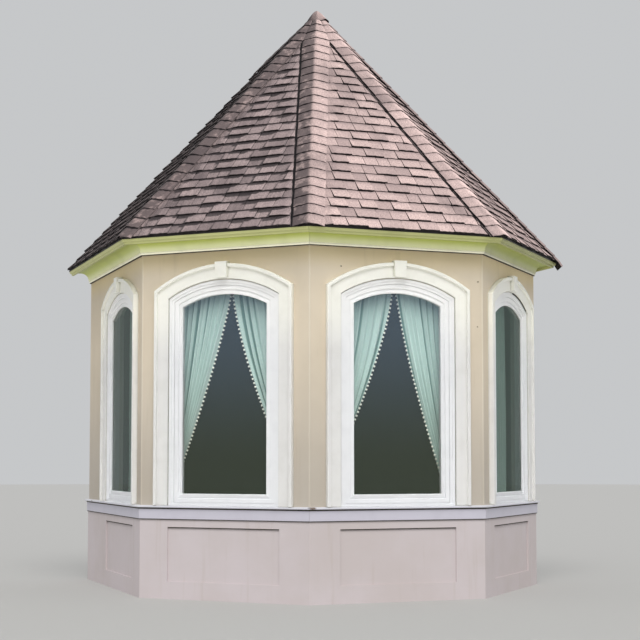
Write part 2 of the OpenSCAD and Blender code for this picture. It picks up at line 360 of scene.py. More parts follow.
trimSet = {
    # the heights over which the head colour, painted bounce light, comes in
    "headLightFrom": (2.0, 2.55),
    "mottleMm": 140,
    "brushMm": 9,
    # each grime colour mottles the paint and, to its share, darkens the corners as painted shade;
    # each head colour is painted bounce light
    "casing": {"colour": "#eae9e8", "head": "#fffef6", "grimeAndShade": "#7e7a5e", "share": 0.55},
    "window": {"colour": "#f2f3f6", "head": "#ffffff", "grimeAndShade": "#9a9ca2", "share": 0.12,
               "roughness": 0.35, "reach": 0.012},
    "apron": {"colour": "#d3d0dc", "grimeAndShade": "#8d8590", "share": 0.6, "roughness": 0.5},
    "sill": {"colour": "#e4e4ec", "grimeAndShade": "#8c877c", "share": 0.5, "roughness": 0.45, "marks": [
        ((0, -2.13, 0.797), 0.016, "#15120f"),
        ((0.03, -2.12, 0.79), 0.034, "#6d5238"),
        ((-2.21, 0.19, 0.79), 0.026, "#57462f"),
    ]},
}


def trimPaint(name, colour, grimeAndShade, share, head=None, roughness=0.42, reach=0.03, marks=()):
    # Gloss paint on moulded trim, brushed on: white with a slight sheen and faint mottling
    # of grime, with painted shade gathered in its corners, and whitest at the windows' heads
    # as painted bounce light.
    material, tree, shader, place = startMaterial(name, Roughness=roughness, IOR=1.47)
    # painted bounce light towards the windows' heads
    paint = layAbove(tree, place, colour, head or colour, *trimSet["headLightFrom"])
    paint = layPatches(tree, place, paint, grimeAndShade, trimSet["mottleMm"], 0.4, 0.75, 0.07)
    # painted shade in the corners
    paint = paintCornerShade(tree, paint, grimeAndShade, reach, 0.3, 0.86, share)
    paint = layMarks(tree, place, paint, marks)
    tree.links.new(paint, shader.inputs["Base Color"])
    roughen(tree, shader, place, trimSet["brushMm"], 0.12, 0.001)
    return material


corniceSet = {
    "bead": "#ece9d8",
    # the cove's, soffit's and fascia's yellow-greens are painted green bounce light and shade
    "coveBounceFoot": "#cfd0a8",
    "coveShadeTop": "#a3ab56",
    "soffit": "#a4ae60",
    "fascia": "#abac78",
    "grimeAndShade": "#6f7148",
    "mottleMm": 240,
    "brushMm": 12,
}


def cornicePaint(name, colour, bands=()):
    # Cream gloss paint on wood mouldings, with faint mottling of grime and painted shade in
    # its corners. It is tinted yellow-green in the hollow of the cove, and olive on the soffit
    # and the fascia, as painted green bounce light and shade.
    # Each band goes over into a further colour between two heights.
    material, tree, shader, place = startMaterial(name, Roughness=0.45, IOR=1.47)
    grimeAndShade = corniceSet["grimeAndShade"]
    paint = colour
    for low, high, further in bands:
        paint = layAbove(tree, place, paint, further, low, high)
    paint = layPatches(tree, place, paint, grimeAndShade, corniceSet["mottleMm"], 0.42, 0.75, 0.16,
                       stretch=(1, 1, 0.5))
    # painted shade in the corners
    paint = paintCornerShade(tree, paint, grimeAndShade, 0.03, 0.2, 0.8, 0.5)
    tree.links.new(paint, shader.inputs["Base Color"])
    roughen(tree, shader, place, corniceSet["brushMm"], 0.1, 0.001)
    return material


tabSet = {
    "course": 0.1225,
    "overlap": 0.02,
    "tabWidth": (0.13, 0.185),
    "flatWidth": 0.85,  # what a flat tab has of that width
    "raisedWidth": 1.1,
    "startBefore": 0.15,
    "slot": 0.004,
    "thin": 0.0085,
    "thick": 0.017,
    "thinned": 0.93,  # what a tab loses of its thickness up to the course above
    "sunk": 0.001,
    "turnShare": 0.82,  # how often a raised tab follows a flat one, or a flat a raised
    "pressed": 0.35,  # what is left of a tab's height under the caps
    "underCaps": 0.13,
    "pressOver": 0.11,
    "slip": 0.005,
    "lift": 0.002,
    "wobble": 0.0026,
    "overhang": 0.012,
    "margin": 0.03,  # how far a course is laid past its hips
    "columns": 8,
    "tone": (0.55, 0.32),
    "pale": "#8a7d7c",
    "middle": "#6b6060",
    "dark": "#453d40",
    # the colour of algae, which along the butts and on the caps' shaded halves is also painted shade
    "algaeAndShade": "#2b2529",
    # the upright faces' colour: bare asphalt, and painted shade on the sides that face the sun
    "asphalt": "#1f1a1c",
    "granuleMm": 9,
    "stainMm": 420,
    "blotMm": 90,
    "gritMm": 5,
}


def asphaltShingles():
    # Asphalt shingles with ceramic granules: dull, speckled, each tab of its own tone,
    # darker in a band under the course above, partly as the shingles' printed shadow band
    # and partly as painted shade, and where algae has grown. Along the butts and on the
    # caps' halves that face away from the sun the dark is partly painted shade, and the
    # upright faces are bare asphalt, painted dark, which is also painted shade. The granules
    # are 1.5 mm, drawn at 9 mm so that they show.
    material, tree, shader, place = startMaterial("asphalt shingles", Roughness=0.93, IOR=1.45)
    tone, rise, grown = [
        addNode(tree, "ShaderNodeAttribute", {}, attribute_name=kind).outputs["Fac"]
        for kind in ("tone", "rise", "grown")]
    dark, algaeAndShade = tabSet["dark"], tabSet["algaeAndShade"]
    paint = layOver(tree, tabSet["middle"], tabSet["pale"], tone)
    paint = layPatches(tree, place, paint, dark, tabSet["granuleMm"], 0.42, 0.62, 0.62, 2,
                       roughness=0.8)
    # a band under the course above: printed shadow band and painted shade
    paint = layOver(tree, paint, dark, rise, 0.5, 0.85, 0.0, 0.5)
    paint = layPatches(tree, place, paint, algaeAndShade, tabSet["stainMm"], 0.45, 0.72, 0.5, 5,
                       (1, 1, 0.6))
    # blots of algae, which on the caps' halves that face away from the sun are also painted shade
    paint = layPatches(tree, place, paint, algaeAndShade, tabSet["blotMm"], 0.32, 0.5, grown)
    # darker along the butts: algae and painted shade
    paint = layOver(tree, paint, algaeAndShade, rise, 0.0, 0.1, 0.35, 0.0)
    # the upright cut edges are bare asphalt, and their dark is also painted shade on the sides that
    # face the sun
    normal = addNode(tree, "ShaderNodeNewGeometry", {}).outputs["True Normal"]
    paint = layAbove(tree, normal, paint, tabSet["asphalt"], 0.25, 0.5, 0.92, 0.0)
    tree.links.new(paint, shader.inputs["Base Color"])
    roughen(tree, shader, place, tabSet["gritMm"], 0.6, 0.002, roughness=0.8)
    return material


def mottledFinish(name, first, second, patches, relief, **sockets):
    # a plain finish: a colour with patches of a second, over a fine relief
    material, tree, shader, place = startMaterial(name, **sockets)
    paint = layPatches(tree, place, first, second, *patches)
    tree.links.new(paint, shader.inputs["Base Color"])
    roughen(tree, shader, place, *relief)
    return material


def roofFelt():
    # Asphalt-soaked felt on the roof boards, seen only as the dark in the slots.
    return mottledFinish("asphalt felt", "#1d191b", "#2d2729", (30, 0.3, 0.7), (8, 0.3, 0.001),
                         Roughness=0.95)


def bakedMetal():
    # Folded aluminium flashing with a baked dark brown coat, dusty.
    return mottledFinish("baked aluminium", "#1b1716", "#3a3230", (90, 0.4, 0.75, 0.5),
                         (120, 0.15, 0.002), Roughness=0.5, IOR=1.5)


glassSet = {
    # each tint is a painted reflection; the side glass is a darker, denser copy as painted shade
    "front": {"opacity": 0.2, "gloss": 1.6, "foot": "#65705f", "head": "#8296a8"},
    "side": {"opacity": 0.45, "gloss": 1.23, "foot": "#1c4335", "head": "#20483a"},
}


def floatGlass(name, opacity, gloss, foot, head):
    # Solar float glass: a clear sheet with a mirror gloss. It is thin, so it lets light
    # straight through and only its tint and gloss are shown. Its tint, lighter and bluer high
    # up, is a painted reflection, and the side windows' darker, denser copy is painted shade.
    material, tree, shader, place = startMaterial(
        name, Roughness=0.02, IOR=gloss, Alpha=opacity)
    tree.links.new(layAbove(tree, place, foot, head, 1.1, 2.5), shader.inputs["Base Color"])
    roughen(tree, shader, place, 900, 0.2, 0.01, 1)
    return material


curtainSet = {
    "cloth": "#d6eae5",
    "faded": "#8fada6",
    # painted shade in the folds' valleys and between the threads
    "clothShade": "#4f766d",
    "fringeShade": "#faf6e6",
    "fringe": "#fffef8",
    "threadMm": 4,
    "fluffMm": 3,
}


def slubCotton():
    # Mint slub cotton, plain weave: soft, faintly sheeny, with threads of uneven width,
    # darker in the valleys of its folds and between its threads as painted shade.
    # The threads are 0.4 mm, drawn at 4 mm so that they show.
    material, tree, shader, place = startMaterial(
        "mint slub cotton", Roughness=0.85, IOR=1.45, Sheen_Weight=0.25, Sheen_Roughness=0.5)
    weave = addNode(tree, "ShaderNodeUVMap", {}, uv_map="cloth").outputs["UV"]
    # a wave of scale one has 6.3 bands a metre, light and dark
    scale = perMetre(curtainSet["threadMm"]) / 6.3
    warp, weft = [addNode(tree, "ShaderNodeTexWave", {
        "Vector": weave, "Scale": scale, "Distortion": 1.5, "Detail": 1,
    }, bands_direction=axis).outputs["Fac"] for axis in "XY"]
    threads = addNode(tree, "ShaderNodeMath", {0: warp, 1: weft}, operation="MULTIPLY").outputs[0]
    fold = addNode(tree, "ShaderNodeAttribute", {}, attribute_name="fold").outputs["Fac"]
    clothShade = curtainSet["clothShade"]
    paint = layPatches(tree, place, curtainSet["cloth"], curtainSet["faded"], 350, 0.35, 0.7, 0.2,
                       3, (1, 1, 0.3))
    # painted shade in the folds' valleys
    paint = layOver(tree, paint, clothShade, fold, 0.42, 0.85, 0.0, 0.95)
    # painted shade between the threads
    paint = layOver(tree, paint, clothShade, threads, 0.0, 1.0, 0.25, 0.0)
    tree.links.new(paint, shader.inputs["Base Color"])
    relief = addNode(tree, "ShaderNodeBump", {
        "Height": threads, "Strength": 0.3, "Distance": 0.0006,
    })
    tree.links.new(relief.outputs[0], shader.inputs["Normal"])
    return material


def cottonBobble():
    # Cream cotton pompons on a gimp cord, fluffy and matt.
    material, tree, shader, place = startMaterial(
        "cream cotton fringe", Roughness=0.95, Sheen_Weight=0.4)
    fluff = grain(tree, place, curtainSet["fluffMm"])
    paint = layOver(tree, curtainSet["fringeShade"], curtainSet["fringe"], fluff)
    tree.links.new(paint, shader.inputs["Base Color"])
    roughen(tree, shader, place, curtainSet["fluffMm"], 0.7, 0.002, 3)
    return material


def agedBrass():
    # Lacquered brass rod, gone a little brown and dull.
    material, tree, shader, place = startMaterial("aged brass", Metallic=1.0)
    patina = addNode(tree, "ShaderNodeMapRange", {
        "Value": grain(tree, place, 40, 4), "From Min": 0.35, "From Max": 0.7,
    }, interpolation_type="SMOOTHSTEP").outputs[0]
    tree.links.new(layOver(tree, "#c29a4e", "#8a6a35", patina), shader.inputs["Base Color"])
    dull = addNode(tree, "ShaderNodeMapRange", {
        "Value": patina, "To Min": 0.25, "To Max": 0.5,
    }, interpolation_type="SMOOTHSTEP").outputs[0]
    tree.links.new(dull, shader.inputs["Roughness"])
    return material


def trowelledConcrete():
    # Steel-trowelled concrete slab: grey with soft clouds and fine pits.
    return mottledFinish("trowelled concrete", "#8f8b84", "#aeaaa2", (500, 0.3, 0.7, 1.0, 5),
                         (15, 0.3, 0.002, 4), Roughness=0.75)


def gypsumBoard():
    # Painted gypsum board ceiling with a roller's orange-peel surface.
    return mottledFinish("painted gypsum board", "#e4e2dc", "#eeece7", (600, 0.3, 0.7, 1.0, 3),
                         (6, 0.3, 0.001), Roughness=0.9)


def pineBoard():
    # Unpainted pine boarding, grain upright, yellow-brown with darker late wood.
    material, tree, shader, place = startMaterial("raw pine boarding", Roughness=0.7)
    fibre = addNode(tree, "ShaderNodeMapRange", {
        "Value": grain(tree, place, 9, 5, (1, 1, 0.04)), "From Min": 0.35, "From Max": 0.65,
    }, interpolation_type="SMOOTHSTEP").outputs[0]
    tone = addNode(tree, "ShaderNodeAttribute", {}, attribute_name="tone").outputs["Fac"]
    wood = layOver(tree, "#a8845a", "#c9a878", fibre)
    wood = layOver(tree, wood, "#9c7850", tone, 0.0, 1.0, 0.0, 0.45)
    wood = layPatches(tree, place, wood, "#8a6740", 300, 0.3, 0.7, 0.4, 3, (1, 1, 0.2))
    tree.links.new(wood, shader.inputs["Base Color"])
    relief = addNode(tree, "ShaderNodeBump", {
        "Height": fibre, "Strength": 0.3, "Distance": 0.001,
    })
    tree.links.new(relief.outputs[0], shader.inputs["Normal"])
    return material


wallStucco = sandStucco("beige sand stucco", stuccoSet["top"], stuccoSet["foot"],
                        stuccoSet["eave"])
baseStucco = sandStucco("pinkish sand stucco", stuccoSet["baseTop"], stuccoSet["baseFoot"])
casingPaint = trimPaint("white casing paint", **trimSet["casing"])
windowPaint = trimPaint("white window paint", **trimSet["window"])
apronPaint = trimPaint("lavender white paint", **trimSet["apron"])
sillPaint = trimPaint("sill paint", **trimSet["sill"])
# the cove's hollow begins above the bead and ends under the soffit
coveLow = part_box("bed_mould")[0].z + 0.024
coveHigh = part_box("bed_mould")[1].z - 0.01
# painted green bounce light and shade in the cove, on the soffit and on the fascia
bedPaint = cornicePaint("cream cornice paint", corniceSet["bead"], [
    (coveLow - 0.009, coveLow, corniceSet["coveBounceFoot"]),
    (coveLow, coveHigh, corniceSet["coveShadeTop"]),
])
eavePaint = cornicePaint("cream eave paint", corniceSet["fascia"])
soffitPaint = cornicePaint("olive soffit paint", corniceSet["soffit"])
shinglePaint = asphaltShingles()
felt = roofFelt()
frontGlass = floatGlass("clear float glass", **glassSet["front"])
sideGlass = floatGlass("green float glass", **glassSet["side"])
cloth = slubCotton()
bobbles = cottonBobble()
boarding = pineBoard()

for name in walls:
    dress(wallStucco, "wall_" + name)
    dress(baseStucco, "base_" + name)
for name in windows:
    dress(casingPaint, "casing_" + name)
    dress(windowPaint, "window_frame_" + name, "sash_" + name)
    dress(frontGlass if "front" in name else sideGlass, "glass_" + name)
for name in sides:
    dress(felt, "roof_" + name)
dress(casingPaint, "keystones")
dress(apronPaint, "apron_boards")
dress(sillPaint, "sill_boards")
dress(bedPaint, "bed_mould")
dress(soffitPaint, "soffit")
dress(eavePaint, "fascia")
dress(bakedMetal(), "drip_edge")
dress(agedBrass(), "curtain_rods")
dress(trowelledConcrete(), "floor")
dress(gypsumBoard(), "ceiling")
dress(boarding, "gable_back")
print("materials made")

# Shingles: each slope is laid in courses of tabs, thick and thin by turns, and cut at
# the hips. A tab is a wedge, thick at its butt and thin under the course above.
tabMesh = bpy.data.meshes.new("tab")
tabBm = bmesh.new()
bmesh.ops.create_cube(tabBm, size=1)
longEdges = [e for e in tabBm.edges if abs(e.verts[0].co.x - e.verts[1].co.x) > 0.5]
bmesh.ops.subdivide_edges(tabBm, edges=longEdges, cuts=tabSet["columns"] - 1,
                          use_grid_fill=True)
tabSize = len(tabBm.verts)
tabBm.to_mesh(tabMesh)
tabBm.free()


def layCourse(start, end, low, dice):
    # the tabs are pressed flat where the caps will cover them
    bm = bmesh.new()
    toneLayer, riseLayer = addLayers(bm, "tone", "rise")
    columns = tabSet["columns"]
    length = tabSet["course"] + tabSet["overlap"]
    edge = start - dice.uniform(0, tabSet["startBefore"])
    raised = False
    while edge < end:
        # raised tabs mostly stand by turns with the flat ones, and are a little wider
        if dice.random() < tabSet["turnShare"]:
            raised = not raised
        width = dice.uniform(*tabSet["tabWidth"])
        width *= tabSet["raisedWidth" if raised else "flatWidth"]
        thick = tabSet["thick" if raised else "thin"]
        tone = min(1, max(0, dice.gauss(*tabSet["tone"])))
        slip = dice.uniform(-1, 1) * tabSet["slip"]
        lift = dice.uniform(0, tabSet["lift"])
        wobbles = [dice.uniform(-1, 1) * tabSet["wobble"] for k in range(columns + 1)]
        bm.from_mesh(tabMesh)
        bm.verts.ensure_lookup_table()
        for vert in bm.verts[-tabSize:]:
            along, up, top = vert.co.x + 0.5, vert.co.y + 0.5, vert.co.z > 0
            wobble = wobbles[round(along * columns)] * (1 - up)
            x = edge + along * (width - tabSet["slot"])
            inside = min(x - start, end - x) / cos(halfAngle) - tabSet["margin"]
            press = (inside - tabSet["underCaps"]) / tabSet["pressOver"]
            press = min(1, max(tabSet["pressed"], press))
            height = (thick + lift) * (1 - tabSet["thinned"] * up) * press + wobble * 0.2
            vert.co = (x, low + up * length + slip + wobble, height if top else -tabSet["sunk"])
            vert[toneLayer] = tone
            vert[riseLayer] = up
        edge += width
    return bm


def shingleSlope(name, dice):
    direction, start, end = sides[name]
    margin = tabSet["margin"]
    bm = bmesh.new()
    addLayers(bm, "tone", "rise")
    low = -tabSet["overhang"]
    while low < slopeLength - margin:
        left = 1 - max(low, 0) / slopeLength
        first = roofEdge * tan(radians(start - direction)) * left - margin
        last = roofEdge * tan(radians(end - direction)) * left + margin
        addTo(bm, layCourse(first, last, low, dice))
        low += tabSet["course"]
    bmesh.ops.transform(bm, matrix=slopeFrame(name), verts=bm.verts)
    trimToSide(bm, name)
    makePiece("shingles_" + name, bm, shinglePaint)


dice = Random(11)
for name in sides:
    shingleSlope(name, dice)
print("shingles laid")

# Hip caps: shingles bent over each hip, lapped from the eave to the tip.
capSet = {
    "course": 0.127,
    "length": 0.165,
    "half": 0.13,
    "halfSpread": (0.97, 1.02),
    "narrowest": 0.02,
    "edgeLift": 0.003,
    "thick": 0.006,
    "lift": 0.012,
    "tilt": 0.008,
    "eaveTilt": 0.002,
    "curl": 0.004,
    "skew": 0.02,
    "warp": 0.0018,
    "top": 0.16,
    "columns": 12,
    "rows": 3,
}
# each hip's direction and half the angle between its slopes' directions
frontHips = [(-45, halfDegrees), (0, halfDegrees), (45, halfDegrees)]
sideHips = [(90, halfDegrees), (135, halfDegrees), (225, 67.5)]
# how far a hip's lowest cap runs past the corner of the eave and how much it droops, the
# mean and spread of the caps' tones, and the algae on their left and right halves. The
# light tones of the hips towards the sun are partly painted sunlight, and the algae on
# the halves turned from it is partly painted shade.
plainHip = {"past": 0.014, "droop": 0, "tone": (0.5, 0.3), "algaeAndShade": (0.3, 0.3)}
hipSet = {
    -45: {"algaeAndShade": (0.75, 0.75)},
    0: {"tone": (0.95, 0.2), "algaeAndShade": (0.8, 0.08)},
    45: {"tone": (0.7, 0.25), "algaeAndShade": (0.1, 0.0)},
    90: {"past": 0.07, "droop": 2.4},
}


def hipFrame(turn, half):
    # x across the hip, y up along it and z out, from the corner of the eave, then the
    # hip's length and how fast a slope falls away on each side of it
    foot = onPlan(turn) * (roofEdge / cos(radians(half))) + Vector((0, 0, eaveZ))
    rise = Vector((0, 0, roofTip)) - foot
    up = rise.normalized()
    across = rightOf(turn)
    out = across.cross(up)
    axes = Matrix((across, up, out)).transposed().to_4x4()
    normal = (onPlan(turn + half) * pitch + Vector((0, 0, 1))).normalized()
    fall = across.dot(normal) / out.dot(normal)
    return Matrix.Translation(foot) @ axes, rise.length, fall


def halfSlope(left):
    # half the width of a slope where so much of its hip is left below the tip
    return left * hipPlan * tan(halfAngle)


def capPiece(bm, low, length, fall, own, dice, layers):
    # the cap narrows towards the tip, where it meets its neighbours
    made = bmesh.ops.create_grid(bm, x_segments=capSet["columns"], y_segments=capSet["rows"],
                                 size=0.5)["verts"]
    tone = min(1, max(0, dice.gauss(*own["tone"])))
    skew = dice.uniform(-capSet["skew"], capSet["skew"])
    half = capSet["half"] * dice.uniform(*capSet["halfSpread"])
    warp = [dice.uniform(-1, 1) * capSet["warp"] for k in range(capSet["columns"] + 1)]
    bend = capSet["edgeLift"] / fall
    tilt = capSet["eaveTilt"] if low < 0 else capSet["tilt"]
    toneLayer, riseLayer, grownShadeLayer = layers
    for vert in made:
        side, up = vert.co.x * 2, vert.co.y + 0.5
        y = low + up * capSet["length"]
        x = side * min(half, max(capSet["narrowest"], halfSlope(length - y)))
        drop = fall * (sqrt(x * x + bend * bend) - bend)
        wobble = warp[round((side + 1) / 2 * capSet["columns"])]
        curl = capSet["curl"] * abs(side) ** 8
        droop = own["droop"] * min(0, y) ** 2
        height = capSet["lift"] + tilt * (1 - up) - drop + wobble - curl - droop
        vert.co = (x, y + x * skew + wobble, height)
        vert[toneLayer] = tone
        vert[riseLayer] = up
        # the middle column is on the right half
        # algae blots, partly painted shade on the halves turned from the sun
        vert[grownShadeLayer] = own["algaeAndShade"][0 if side < -0.05 else 1]
    faces = list({f for v in made for f in v.link_faces})
    bmesh.ops.solidify(bm, geom=faces, thickness=-capSet["thick"])


def capHip(target, turn, half, dice):
    place, length, fall = hipFrame(turn, half)
    own = plainHip | hipSet.get(turn, {})
    bm = bmesh.new()
    layers = addLayers(bm, "tone", "rise", "grown")
    low = -own["past"]
    while low < length - capSet["top"]:
        capPiece(bm, low, length, fall, own, dice, layers)
        low += capSet["course"]
    bmesh.ops.transform(bm, matrix=place, verts=bm.verts)
    trimToHouse(bm)
    addTo(target, bm)


def makeCaps(name, hips, dice):
    bm = bmesh.new()
    addLayers(bm, "tone", "rise", "grown")
    for turn, half in hips:
        capHip(bm, turn, half, dice)
    bmesh.ops.recalc_face_normals(bm, faces=bm.faces)
    caps = makePiece(name, bm, shinglePaint, 35)
    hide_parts("hip_caps")
    return caps


frontCaps = makeCaps("front_cap_shingles", frontHips, dice)
sideCaps = makeCaps("side_cap_shingles", sideHips, dice)

# A strip of felt shows as a dark line along the left edge of two front hips' caps: painted
# shade for the shadow that the caps' edges cast.
capShadeSet = {
    "from": 0.116,
    "to": {0: 0.153, 45: 0.14},
    "ragged": (-0.004, 0.002),
    "high": 0.0105,
    "thick": 0.003,
    "rows": 100,
}
lineBm = bmesh.new()
for turn, reach in capShadeSet["to"].items():
    place, length, fall = hipFrame(turn, halfDegrees)
    strip = bmesh.ops.create_grid(lineBm, x_segments=1, y_segments=capShadeSet["rows"],
                                  size=0.5)["verts"]
    for vert in strip:
        y = (vert.co.y + 0.5) * (length - capSet["top"])
        taper = min(1, halfSlope(length - y) / capSet["half"])
        x = capShadeSet["from"] if vert.co.x > 0 else reach + dice.uniform(*capShadeSet["ragged"])
        vert.co = place @ Vector((-x * taper, y, capShadeSet["high"] - fall * x * taper))
bmesh.ops.solidify(lineBm, geom=list(lineBm.faces), thickness=capShadeSet["thick"])
bmesh.ops.recalc_face_normals(lineBm, faces=lineBm.faces)
capShadeLine = makePiece("cap_felt", lineBm, felt)

# The last cap is folded over the tip with round shoulders, and its right corner has
# sprung open.
tipSet = {
    "radius": 0.105,
    "hole": 0.003,
    "above": 0.03,
    "skirt": 0.022,
    "shoulder": 0.018,
    "thick": 0.007,
    "sprung": 0.02,
    "sprungOut": 0.12,
    "sprungTurn": 58,
    "sprungFrom": 0.6,  # the cosine, off that turn, where it begins to spring
    "tone": 0.35,
}
tipBm = bmesh.new()
toneLayer, riseLayer = addLayers(tipBm, "tone", "rise")
bmesh.ops.create_cone(tipBm, cap_ends=False, segments=32, radius1=tipSet["radius"],
                      radius2=tipSet["hole"], depth=1)
upEdges = [e for e in tipBm.edges if abs(e.verts[0].co.z - e.verts[1].co.z) > 0.5]
bmesh.ops.subdivide_edges(tipBm, edges=upEdges, cuts=5)
for vert in tipBm.verts:
    flatPlace = Vector((vert.co.x, vert.co.y, 0))
    share = flatPlace.length / tipSet["radius"]
    vert[toneLayer] = tipSet["tone"]
    vert[riseLayer] = 0.5 * (1 - share)
    facing = flatPlace.normalized().dot(onPlan(tipSet["sprungTurn"]))
    spring = max(0, facing - tipSet["sprungFrom"]) / (1 - tipSet["sprungFrom"])
    spring = share ** 3 * spring ** 2
    vert.co.z = roofHeight(flatPlace) + tipSet["above"] * (1 - share) + tipSet["skirt"] * share
    vert.co.z += tipSet["shoulder"] * sin(pi * share) + tipSet["sprung"] * spring
    vert.co += flatPlace * tipSet["sprungOut"] * spring
holeRim = [e for e in tipBm.edges if e.is_boundary and e.verts[0].co.xy.length < 0.01]
bmesh.ops.holes_fill(tipBm, edges=holeRim, sides=0)
bmesh.ops.solidify(tipBm, geom=list(tipBm.faces), thickness=-tipSet["thick"])
bmesh.ops.recalc_face_normals(tipBm, faces=tipBm.faces)
tip = makePiece("tip_cap", tipBm, shinglePaint, 30)
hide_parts("apex_cap")
print("hips capped")

# Corner beads: the rounded nosing in the stucco at each corner of the walls.
beadSet = {
    "radius": 0.011,
    "proud": 0.002,
    "segments": 16,
    # lighter than the wall's stucco as a painted highlight, with the wall's painted shade and bounce
    # light
    "top": "#eee2ce",
    "foot": "#d0c7ba",
    "eave": "#f2e0bc",
}
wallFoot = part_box("sill_boards")[1].z
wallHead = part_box("bed_mould")[0].z
beadBm = bmesh.new()
for name in windows:
    made = bmesh.ops.create_cone(
        beadBm, cap_ends=True, segments=beadSet["segments"], radius1=beadSet["radius"],
        radius2=beadSet["radius"], depth=wallHead - wallFoot)["verts"]
    # each stands where a window's wall ends
    place = onPlan(sides[name][2]) * (corner - beadSet["radius"] + beadSet["proud"])
    place.z = (wallHead + wallFoot) / 2
    bmesh.ops.translate(beadBm, verts=made, vec=place)
beadPaint = sandStucco("corner bead paint", beadSet["top"], beadSet["foot"], beadSet["eave"])
makePiece("corner_beads", beadBm, beadPaint, 40)

# Joints: dark strips under the sill, the apron boards and the cornice, and along the top of
# each sunk panel, partly weathered sealant and dirt and partly painted shade under those
# edges. Each stands out from the wall below an edge, and runs past the corners, where it
# is cut, unless its width says otherwise.
apronOut = -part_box("apron_boards")[0].y * cos(halfAngle) - flat
jointSet = {
    "wide": 7,
    "walls": [
        {"top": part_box("sill_boards")[0].z, "high": 0.012, "out": apronOut + 0.003, "deep": 0.006},
        {"top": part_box("apron_boards")[0].z, "high": 0.006, "out": apronOut - 0.003, "deep": 0.014},
        {"top": wallHead, "high": 0.006, "out": 0.014, "deep": 0.016},
    ],
    "panel": {"top": 0.612, "high": 0.008, "out": 0.004, "deep": 0.01, "wide": 1.058},
}


def addJoint(target, name, joint):
    bm = bmesh.new()
    made = bmesh.ops.create_cube(bm, size=1)["verts"]
    bmesh.ops.scale(bm, verts=made,
                    vec=(joint.get("wide", jointSet["wide"]), joint["deep"], joint["high"]))
    bmesh.ops.translate(bm, verts=made, vec=(
        0, -joint["out"] + joint["deep"] / 2, joint["top"] - joint["high"] / 2))
    bmesh.ops.transform(bm, matrix=wallFrame(name), verts=bm.verts)
    trimToSide(bm, name)
    addTo(target, bm)


def sealantAndShade():
    # Polyurethane sealant gone dark with dirt and mould, slightly soft and dull, whose dark also
    # stands for painted shade.
    return mottledFinish("weathered sealant", "#2b2720", "#4c463a", (35, 0.35, 0.7),
                         (10, 0.4, 0.001), Roughness=0.8)


jointBm = bmesh.new()
for name in walls:
    for joint in jointSet["walls"]:
        addJoint(jointBm, name, joint)
for name in windows:
    addJoint(jointBm, name, jointSet["panel"])
# a dark strip round the head of the right window, from the crown to the springing, is painted shade
# under the casing's inner edge
headShadeLine = {
    "wall": "right",
    "from": 3,
    "to": 29,
    "centre": 1.707,
    "radius": 0.997,
    "wide": 0.014,
    "out": 0.0135,
    "thick": 0.002,
    "steps": 24,
}
headBm = bmesh.new()
ends = [headBm.verts.new((0, -headShadeLine["out"], headShadeLine["centre"] + headShadeLine["radius"] + w))
        for w in (0, headShadeLine["wide"])]
headBm.edges.new(ends)
middle = (0, 0, headShadeLine["centre"])
bmesh.ops.rotate(headBm, verts=ends, cent=middle,
                 matrix=Matrix.Rotation(radians(headShadeLine["from"]), 3, "Y"))
bmesh.ops.spin(headBm, geom=list(headBm.edges) + ends, cent=middle, axis=(0, 1, 0),
               angle=radians(headShadeLine["to"] - headShadeLine["from"]), steps=headShadeLine["steps"])
bmesh.ops.solidify(headBm, geom=list(headBm.faces), thickness=headShadeLine["thick"])
bmesh.ops.recalc_face_normals(headBm, faces=headBm.faces)
bmesh.ops.transform(headBm, matrix=wallFrame(headShadeLine["wall"]), verts=headBm.verts)
addTo(jointBm, headBm)
makePiece("sealant_joints", jointBm, sealantAndShade())
print("beads and joints made")

# The gable's boarding: upright boards, cut off under the slopes of the roof.
boardSet = {
    "width": 0.14,
    "gap": 0.004,
    "thick": (0.006, 0.009),
    "roofDeep": 0.062,
    "inset": 0.01,
}
gableLow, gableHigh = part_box("gable_back")
boardDice = Random(4)
boardBm = bmesh.new()
toneLayer = addLayers(boardBm, "tone")[0]
boardX = gableLow.x + boardSet["inset"]
while boardX < gableHigh.x - boardSet["inset"]:
    width = min(boardSet["width"], gableHigh.x - boardSet["inset"] - boardX)
    thick = boardDice.uniform(*boardSet["thick"])
    made = bmesh.ops.create_cube(boardBm, size=1)["verts"]
    bmesh.ops.scale(boardBm, verts=made,
                    vec=(width - boardSet["gap"], thick, gableHigh.z - gableLow.z))
    bmesh.ops.translate(boardBm, verts=made, vec=(
        boardX + width / 2, houseY + thick / 2, (gableHigh.z + gableLow.z) / 2))
    tone = boardDice.random()
    for vert in made:
        vert[toneLayer] = tone
    boardX += boardSet["width"]
for side in sides.values():
    slope = onPlan(side[0]) * pitch + Vector((0, 0, 1))
    trimAway(boardBm, Vector((0, 0, roofTip - boardSet["roofDeep"])), slope.normalized())
makePiece("gable_boards", boardBm, boarding)
print("gable boarded")

# Curtains: two gathered panels at each window, tied back at the front ones. Each panel
# is measured along its wall, from its outer edge to its free edge.
panelSet = {
    "rodY": 0.235,
    "top": 2.765,
    "hem": 0.17,
    "outer": 0.6,
    "flatWidth": 1.05,
    "thick": 0.0012,
    "folds": 10,
    "deepest": 0.036,
    "columns": 150,
    "rows": 72,
    "apart": 0.003,  # from the window's middle to the free edge, where it isn't tied
    "heading": 0.06,
    "pullHigh": 0.5,  # how far above its tie the outer edge is pulled in, and how much
    "pullIn": 0.012,
    "flareHigh": 0.9,  # how far below its tie the free edge swings back, and how much
    "flareOut": 0.09,
}
